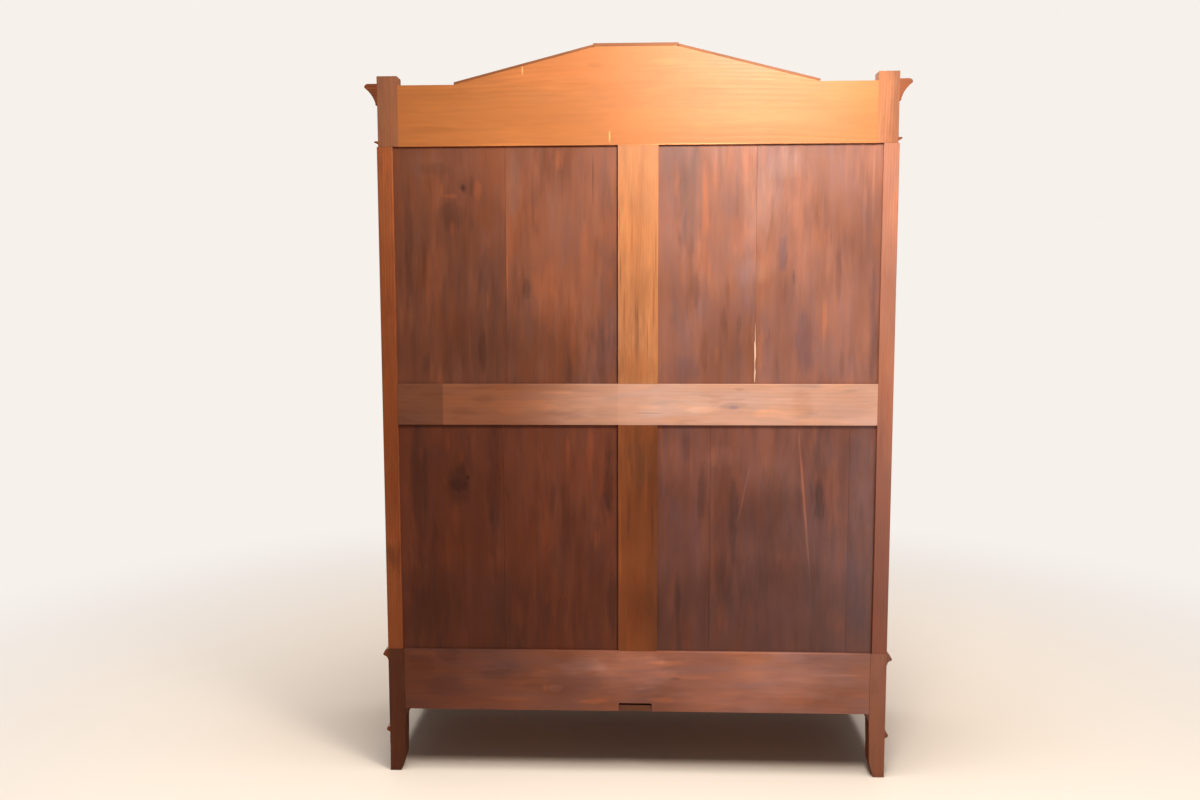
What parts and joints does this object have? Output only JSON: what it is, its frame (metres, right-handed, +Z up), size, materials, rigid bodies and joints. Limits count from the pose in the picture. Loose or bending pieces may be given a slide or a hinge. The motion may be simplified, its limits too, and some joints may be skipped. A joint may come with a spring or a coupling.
{
  "type": "two-door wardrobe",
  "caption": "Full-size free-standing wardrobe with a pedimented crown, panelled back, hinged doors and drawers in a legged base.",
  "frame": {"origin": "on the floor, under the middle of the overall bounding box", "axes": "+Z up; +Y out of the panelled back; the doors face -Y; +X to the right when facing the doors"},
  "size_m": [1.544, 0.576, 2.135],
  "materials": {
    "back_honey": "satin",
    "back_dark": "satin",
    "back_panel": "satin",
    "post_wood": "satin",
    "leg_wood": "satin",
    "side_wood": "satin",
    "front_wood": "polished",
    "front_panel": "polished",
    "inside_wood": "raw",
    "brass": "aged",
    "iron": "dark"
  },
  "bodies": {
    "carcass": {"base_rear_rail": "back_dark", "base_side_rails": "side_wood", "base_front_frame": "front_wood", "base_legs": "leg_wood", "base_moulding": "front_wood", "base_bead": "front_wood", "leg_corner_blocks": "inside_wood", "floor_boards": "inside_wood", "drawer_centre_runner": "inside_wood", "base_side_bearers": "inside_wood", "side_rails": "side_wood", "side_panels": "side_wood", "back_top_rail": "inside_wood", "rear_post_left": "post_wood", "rear_post_right": "post_wood", "front_posts": "front_wood", "back_mid_rail": "back_honey", "back_muntin_upper": "back_honey", "back_muntin_lower": "back_honey", "back_panel_upper_left": "back_panel", "back_panel_upper_right": "back_panel", "back_panel_lower_left": "back_panel", "back_panel_lower_right": "back_panel", "door_stops": "inside_wood", "hat_shelf": "inside_wood", "shelf_cleats": "inside_wood", "clothes_rail": "inside_wood", "clothes_rail_brackets": "inside_wood", "crown_rear_rail": "back_honey", "crown_rear_pediment": "back_honey", "crown_front_boards": "front_wood", "crown_side_rails": "side_wood", "crown_posts": "post_wood", "crown_ceiling_boards": "inside_wood", "crown_roof_boards": "inside_wood", "crown_bead": "front_wood", "crown_cornice": "front_wood", "hinge_pins": "brass"},
    "door_left": {"door_left_frame": "front_wood", "door_left_panels": "front_panel", "door_left_mouldings": "front_wood", "door_left_hinges": "brass", "door_left_fittings": "iron"},
    "door_right": {"door_right_frame": "front_wood", "door_right_panels": "front_panel", "door_right_mouldings": "front_wood", "door_right_hinges": "brass", "door_cover_strip": "front_wood", "lock_case": "iron", "key_escutcheon": "brass"},
    "key_body": {"key": "iron"},
    "lock_bolt_body": {"lock_bolt": "iron"},
    "bolt_top_body": {"bolt_top": "iron"},
    "bolt_bottom_body": {"bolt_bottom": "iron"},
    "drawer_left": {"drawer_left_front": "front_panel", "drawer_left_box": "inside_wood", "drawer_left_knobs": "front_wood"},
    "drawer_right": {"drawer_right_front": "front_panel", "drawer_right_box": "inside_wood", "drawer_right_knobs": "front_wood"}
  },
  "joints": [
    {"name": "door_left_swing", "type": "hinge", "parent": "carcass", "child": "door_left", "pos_m": [-0.684, -0.2585, 1.115], "axis": [0, 0, 1], "range_deg": [-110, 0]},
    {"name": "door_right_swing", "type": "hinge", "parent": "carcass", "child": "door_right", "pos_m": [0.684, -0.2585, 1.115], "axis": [0, 0, 1], "range_deg": [0, 110]},
    {"name": "key_turn", "type": "hinge", "parent": "door_right", "child": "key_body", "pos_m": [0.048, -0.252, 1.056], "axis": [0, 1, 0], "range_deg": [-360, 0]},
    {"name": "lock_bolt_throw", "type": "slide", "parent": "door_right", "child": "lock_bolt_body", "axis": [-1, 0, 0], "range_m": [0, 0.016]},
    {"name": "bolt_top_throw", "type": "slide", "parent": "door_left", "child": "bolt_top_body", "axis": [0, 0, 1], "range_m": [0, 0.022]},
    {"name": "bolt_bottom_throw", "type": "slide", "parent": "door_left", "child": "bolt_bottom_body", "axis": [0, 0, -1], "range_m": [0, 0.016]},
    {"name": "drawer_left_pull", "type": "slide", "parent": "carcass", "child": "drawer_left", "axis": [0, -1, 0], "range_m": [0, 0.36]},
    {"name": "drawer_right_pull", "type": "slide", "parent": "carcass", "child": "drawer_right", "axis": [0, -1, 0], "range_m": [0, 0.36]}
  ],
  "couplings": [
    {"joint": "key_turn", "follows": "lock_bolt_throw", "rad_per_m": -392.69}
  ]
}
